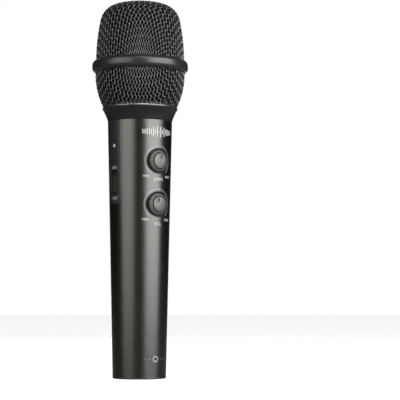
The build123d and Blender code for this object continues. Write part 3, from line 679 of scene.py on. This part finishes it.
scale_radius = 7.7 * MM
scale_turn = 8               # degrees from tick to tick
scale_end = 17 * scale_turn
tick_width = 0.28 * MM
tick_height = 0.55 * MM
word_height = 1.7 * MM
end_word_height = 1.35 * MM
end_word_across = 6.9 * MM
end_word_drop = 8.0 * MM     # below the dial's axis
for name, title, drop in (("gain", "GAIN", 9.4 * MM), ("volume", "VOL", 10.2 * MM)):
    low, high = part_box(f"{name}_dial")
    up = (low.z + high.z) / 2
    marks = []
    for degrees_round in range(-scale_end, scale_end + 1, scale_turn):
        turn = radians(degrees_round)
        marks.append(bar(scale_radius * sin(turn), up + scale_radius * cos(turn),
                         tick_width, tick_height, turn))
    printed(f"{name}_scale_marks", marks, on_handle(0))
    end_word_up = up - end_word_drop
    printed(f"{name}_words", [word("MIN", end_word_height, -end_word_across, end_word_up),
                              word("MAX", end_word_height, end_word_across, end_word_up),
                              word(title, word_height, 0, up - drop)], on_handle(0))

slider_low, slider_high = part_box("switch_slider")
slider_middle = (slider_low.z + slider_high.z) / 2
on_rise = 8.5 * MM
off_drop = 7.4 * MM
printed("switch_words", [word("ON", word_height, 0, slider_middle + on_rise),
                         word("OFF", word_height, 0, slider_middle - off_drop)], on_handle(-90))

bar_pitch = 1.12 * MM
bar_count = 17
bar_width = 0.5 * MM
bar_shortest = 1.1 * MM
bar_growth = 4.4 * MM
bars_up = tube_high - 6.3 * MM
level_bars = []
for index in range(bar_count):
    from_middle = index - (bar_count - 1) / 2
    swing = abs(sin(1.7 * from_middle)) * cos(pi * from_middle / (bar_count + 3))
    level_bars.append(bar(from_middle * bar_pitch, bars_up, bar_width,
                          bar_shortest + bar_growth * swing))
printed("level_bars", level_bars, on_handle(0))

heart_radius = 1.15 * MM
heart = [(heart_radius * (1 + sin(turn)) * cos(turn), heart_radius * (1 + sin(turn)) * sin(turn))
         for turn in np.linspace(-pi / 2, 3 * pi / 2, 49)]
heart_up = 9.2 * MM
dash_across = 4.6 * MM
dash_up = heart_up + 1.1 * MM
dash_length = 2.6 * MM
printed("pickup_pattern", [stroke([(x, y + heart_up) for x, y in heart], line_width),
                           bar(0, heart_up, line_width, 1.0 * MM),
                           bar(-dash_across, dash_up, dash_length, line_width),
                           bar(dash_across, dash_up, dash_length, line_width)], on_handle(0))

cap_recess = 1.0 * MM
cap_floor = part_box("base_cap")[0].z + cap_recess


def on_floor(point):
    """Mapping from a flat mark to the tail cap's floor, read from below."""
    return Vector((point.x, point.y, cap_floor - point.z))


earpiece_across = 1.0 * MM
phones_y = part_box("jack_ring")[0].y - 1.6 * MM
earpiece_y = phones_y + 0.45 * MM
band = [(earpiece_across * cos(turn), phones_y - 0.9 * MM * sin(turn) + 0.2 * MM)
        for turn in np.linspace(0, pi, 15)]
plug_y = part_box("usb_shell")[1].y + 1.9 * MM
printed("socket_symbols", [stroke(band, 0.25 * MM),
                           bar(-earpiece_across, earpiece_y, 0.5 * MM, 0.75 * MM),
                           bar(earpiece_across, earpiece_y, 0.5 * MM, 0.75 * MM),
                           bar(-2.0 * MM, plug_y, 1.7 * MM, 1.2 * MM),
                           bar(-0.85 * MM, plug_y, 0.6 * MM, 0.7 * MM),
                           bar(0.9 * MM, plug_y, 2.9 * MM, 0.28 * MM),
                           bar(2.6 * MM, plug_y, 0.5 * MM, 1.0 * MM)], on_floor)

# ---- Woven grille ----
# Plain-woven black wire, pressed over a form: the squares stay near the same size along each
# wire and shear into diamonds where the sheet wraps the sides. One net makes the dome and
# another the skirt, and the diamonds of both face between the dials and the switch panel.

wire_radius = 0.25 * MM
wire_pitch = 2.15 * MM
wire_steps = 5               # points of each wire's curve from crossing to crossing
mesh_thickness = 1.1 * MM
foot_length = 20 * MM        # straight foot added below the dome and above the skirt
bias_azimuth = -36           # degrees from the front, the way that the diamonds face
bias_turn = radians(bias_azimuth - 90 - 45)
dome_spread_start = 20 * MM  # each blank spreads past this distance from its pole, by this rate
dome_spread = 12.0
skirt_spread_start = 22 * MM
skirt_spread = 8.0


def turned_outline(node):
    """Convex outer outline of a turned CAD node, as radii and heights from its lower end up."""
    corners = np.array([v.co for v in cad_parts[node].data.vertices])
    points = np.unique(np.round(np.c_[np.hypot(corners[:, 0], corners[:, 1]), corners[:, 2]],
                                6), axis=0)
    points = points[np.lexsort((-points[:, 0], points[:, 1]))]
    chain = []
    for point in points:
        while len(chain) > 1:
            (x1, z1), (x2, z2) = chain[-1] - chain[-2], point - chain[-1]
            if x1 * z2 - z1 * x2 > 1e-12:
                break
            chain.pop()
        chain.append(point)
    return np.array(chain)


def inset(outline, depth):
    """An outline moved inwards along its normals."""
    tangents = np.gradient(outline, axis=0)
    tangents /= np.linalg.norm(tangents, axis=1)[:, None]
    moved = outline - depth * np.c_[tangents[:, 1], -tangents[:, 0]]
    moved[:, 0] = np.maximum(moved[:, 0], 0)
    return moved


class Former:
    """Turned surface that a net is draped on, as radii and heights from its pole outwards."""

    def __init__(self, points, side):
        self.points = np.array(points)
        self.side = side         # 1 where the pole is on top, -1 where it is below
        steps = np.diff(self.points, axis=0)
        self.lengths = np.hypot(steps[:, 0], steps[:, 1])
        self.along = np.r_[0, np.cumsum(self.lengths)]
        self.tangents = steps / self.lengths[:, None]

    def wider(self, start, growth):
        """A form of the same lengths whose radii grow past a distance from its pole."""
        radii = self.points[:, 0] * (1 + growth * np.maximum(self.along - start, 0))
        rises = np.sqrt(np.maximum(self.lengths ** 2 - np.diff(radii) ** 2, 1e-14))
        heights = self.points[0, 1] - self.side * np.r_[0, np.cumsum(rises)]
        return Former(np.c_[radii, heights], self.side)

    def spot(self, distance, angle):
        radius = np.interp(distance, self.along, self.points[:, 0])
        height = np.interp(distance, self.along, self.points[:, 1])
        return np.array((radius * cos(angle), radius * sin(angle), height))

    def nearest(self, point):
        """Gap from the surface to a point, the normal there, and its distance from the pole."""
        flat = np.array((hypot(point[0], point[1]), point[2]))
        offsets = flat - self.points[:-1]
        reaches = np.clip((offsets * self.tangents).sum(1), 0, self.lengths)
        gaps = offsets - reaches[:, None] * self.tangents
        best = np.argmin((gaps ** 2).sum(1))
        tangent = self.tangents[best]
        normal = np.array((-tangent[1], tangent[0])) * self.side
        across = flat[0] or 1e-9
        return (gaps[best] @ normal,
                np.array((normal[0] * point[0] / across, normal[0] * point[1] / across, normal[1])),
                self.along[best] + reaches[best])

    def net(self, pitch):
        """Crossings of one quarter of a net of fixed-length sides, between two meridians."""
        count = int(self.along[-1] / pitch) - 2
        crossings = {}
        for step in range(count):
            crossings[step, 0] = self.spot(step * pitch, 0)
            crossings[0, step] = self.spot(step * pitch, pi / 2)
        for row in range(1, count):
            for column in range(1, count):
                left = crossings.get((row - 1, column))
                below = crossings.get((row, column - 1))
                if left is None or below is None:
                    continue
                spot = left + below - crossings[row - 1, column - 1]
                for _ in range(12):
                    gap, normal, _ = self.nearest(spot)
                    slopes = np.array((2 * (spot - left), 2 * (spot - below), normal))
                    misses = np.array(((spot - left) @ (spot - left) - pitch ** 2,
                                       (spot - below) @ (spot - below) - pitch ** 2, gap))
                    move = np.linalg.lstsq(slopes, -misses, rcond=None)[0]
                    spot = spot + move
                    if np.abs(move).max() < 1e-8:
                        break
                sides = np.linalg.norm((spot - left, spot - below), axis=1)
                if np.abs(sides - pitch).max() < 0.02 * pitch:
                    crossings[row, column] = spot
        return crossings


def lattice(former, blank):
    """The whole net: made on the blank, pressed on to the former, turned round four times."""
    whole = {}
    for (column, row), draped in blank.net(wire_pitch).items():
        distance = blank.nearest(draped)[2]
        angle = atan2(draped[1], draped[0])
        for quarter in range(4):
            spot = former.spot(distance, angle + bias_turn + quarter * pi / 2)
            whole[column, row] = (spot, former.nearest(spot)[1])
            column, row = -row, column
    return whole


def wire_run(crossings, lifts, inside):
    """Points along one wire: a smooth curve through its crossings, over and under by turns."""
    run = []
    for here in range(1, len(crossings) - 2):
        before, start, end, after = (spot for spot, normal in crossings[here - 1:here + 3])
        for step in range(wire_steps):
            t = step / wire_steps
            spot = 0.5 * (2 * start + (end - before) * t
                          + (2 * before - 5 * start + 4 * end - after) * t ** 2
                          + (3 * start - before - 3 * end + after) * t ** 3)
            normal = crossings[here][1] * (1 - t) + crossings[here + 1][1] * t
            lift = lifts[here] * cos(pi * t) * wire_radius
            if inside(spot):
                run.append(spot + normal / np.linalg.norm(normal) * lift)
    return run


def weave(name, former, blank, inside):
    """The two sets of wires of a net, each as one piece."""
    crossings = lattice(former, blank)
    most = max(column for column, row in crossings)
    pieces = []
    for family in ("warp", "weft"):
        curve = bpy.data.curves.new(f"{name}_{family}", "CURVE")
        curve.dimensions = "3D"
        curve.bevel_depth = wire_radius
        curve.bevel_resolution = 1
        curve.use_fill_caps = True
        for fixed in range(-most, most + 1):
            keys = [(k, fixed) if family == "warp" else (fixed, k)
                    for k in range(-most, most + 1)]
            keys = [key for key in keys if key in crossings]
            if len(keys) < 4:
                continue
            up = 1 if family == "warp" else -1
            lifts = [up if (column + row) % 2 == 0 else -up for column, row in keys]
            run = wire_run([crossings[key] for key in keys], lifts, inside)
            if len(run) < 3:
                continue
            spline = curve.splines.new("POLY")
            spline.points.add(len(run) - 1)
            spline.points.foreach_set("co", np.c_[run, np.ones(len(run))].ravel())
        wires = bpy.data.objects.new(curve.name, curve)
        bpy.context.collection.objects.link(wires)
        deselect_all()
        wires.select_set(True)
        bpy.context.view_layer.objects.active = wires
        bpy.ops.object.convert(target="MESH")
        bpy.ops.object.shade_smooth()
        pieces.append(bpy.context.object)
    return pieces


wire_lacquer = Finish("black_wire_lacquer", Specular_IOR_Level=0.75)
wire_lacquer.mottle(900, 3, (0.010, 0.010, 0.010), (0.022, 0.022, 0.022),
                    roughness=(0.18, 0.38), bump=0.02 * MM)

dome_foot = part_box("grille_dome")[0].z
dome_line = inset(turned_outline("grille_dome"), mesh_thickness / 2)[::-1]
dome_former = Former(np.r_[dome_line, [(dome_line[-1, 0], dome_foot - foot_length)]], 1)
dome_wires = weave("dome", dome_former, dome_former.wider(dome_spread_start, dome_spread),
                   lambda spot: spot[2] > dome_foot + 0.1 * MM)

skirt_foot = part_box("grille_skirt")[0].z
skirt_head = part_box("grille_skirt")[1].z
skirt_line = inset(turned_outline("grille_skirt"), mesh_thickness / 2)
bowl_radius = 1.1 * skirt_line[0, 0]     # the sheet's unused middle, below the collar's seat
bowl_turn = np.arcsin(skirt_line[0, 0] / bowl_radius)
bowl = [(bowl_radius * sin(angle), skirt_line[0, 1] + bowl_radius * (cos(bowl_turn) - cos(angle)))
        for angle in np.linspace(0, bowl_turn, 40)[:-1]]
skirt_former = Former(np.r_[bowl, skirt_line, [(skirt_line[-1, 0], skirt_head + foot_length)]], -1)
skirt_wires = weave("skirt", skirt_former, skirt_former.wider(skirt_spread_start, skirt_spread),
                    lambda spot: skirt_foot + 0.1 * MM < spot[2] < skirt_head - 0.1 * MM)

for wires, node in ((dome_wires, "grille_dome"), (skirt_wires, "grille_skirt")):
    for piece in wires:
        place_piece(piece, wire_lacquer, "microphone", "grille_wire", node)

# ---- Foam liner ----
# Soft open-cell foam behind each mesh, cut from sheet and glued inside. Its skin is pitted
# and its cut ends are square.

foam = Finish("black_foam", Roughness=0.95, Specular_IOR_Level=0.05)
cells = foam.node("ShaderNodeTexVoronoi", {}, {"Vector": foam.place(), "Scale": 2200.0})
foam.set("Base Color", foam.blend(cells, (0.009, 0.009, 0.009), (0.003, 0.003, 0.003)))
foam.bump(cells, 0.2 * MM)
pits = bpy.data.textures.new("foam_pits", "CLOUDS")
pits.noise_scale = 1.2 * MM
for node in ("foam_dome", "foam_skirt"):
    liner = copied(node, f"{node}_liner")
    liner.data.remesh_voxel_size = 0.6 * MM
    bpy.ops.object.voxel_remesh()
    displace = liner.modifiers.new("pits", "DISPLACE")
    displace.texture = pits
    displace.texture_coords = "LOCAL"
    displace.strength = 0.5 * MM
    displace.mid_level = 1.0
    bpy.ops.object.modifier_apply(modifier="pits")
    bpy.ops.object.shade_smooth()
    place_piece(liner, foam, "microphone", "wind_foam", node)

# ---- Band and collar ----
# Spun steel band crimped round the ends of both meshes, and the turned collar that the head
# screws down on. Both are sprayed satin black, and a bright metal ring round the top of the
# collar's lip is a painted highlight.

lacquer = Finish("black_lacquer", Specular_IOR_Level=0.4)
lacquer.mottle(2500, 2, (0.009, 0.009, 0.009), (0.014, 0.014, 0.014),
               roughness=(0.26, 0.38), bump=0.015 * MM)
rounded("grille_band", "band_ring", 0.15 * MM, lacquer, "band_paint")

lip_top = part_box("collar")[1].z
lip_highlight_lacquer = Finish("collar_lacquer_painted_highlight", Specular_IOR_Level=0.25)
fine = lip_highlight_lacquer.noise(2500, detail=2)
rise = lip_highlight_lacquer.node("ShaderNodeSeparateXYZ", {}, {0: lip_highlight_lacquer.place((0, 0, lip_top))}, output=2)
# Painted highlight: the top of the lip is coloured bright metal, standing in for the light that its
# edge catches.
painted_lip_highlight = (rise + lip_highlight_lacquer.noise(1500, detail=3) * (0.3 * MM)) > -0.28 * MM
lip_highlight_lacquer.set("Base Color", lip_highlight_lacquer.blend(painted_lip_highlight, (0.008, 0.008, 0.008), (0.34, 0.33, 0.31)))
lip_highlight_lacquer.set("Metallic", painted_lip_highlight)
lip_highlight_lacquer.set("Roughness", fine * 0.12 + 0.26)
lip_highlight_lacquer.bump(fine, 0.015 * MM)
rounded("collar", "collar_ring", 0.22 * MM, lip_highlight_lacquer, "collar_paint")

# ---- Studio floor ----
# Pale paper, lit from within its own colour so that it stays near white to the horizon.

floor_radius = 4.0
bpy.ops.mesh.primitive_circle_add(vertices=96, radius=floor_radius, fill_type="NGON",
                                  location=(0, 0, 0))
floor = bpy.context.object
floor.name = "studio_floor"
paper = Finish("pale_paper", Base_Color=(0.25, 0.25, 0.25), Roughness=0.9,
               Emission_Strength=0.9, Specular_IOR_Level=0.0)
paper.set("Emission Color", paper.blend(paper.node("ShaderNodeLightPath"), (0.0, 0.0, 0.0),
                                        (1.0, 1.0, 1.0)))
floor.data.materials.append(paper.material)
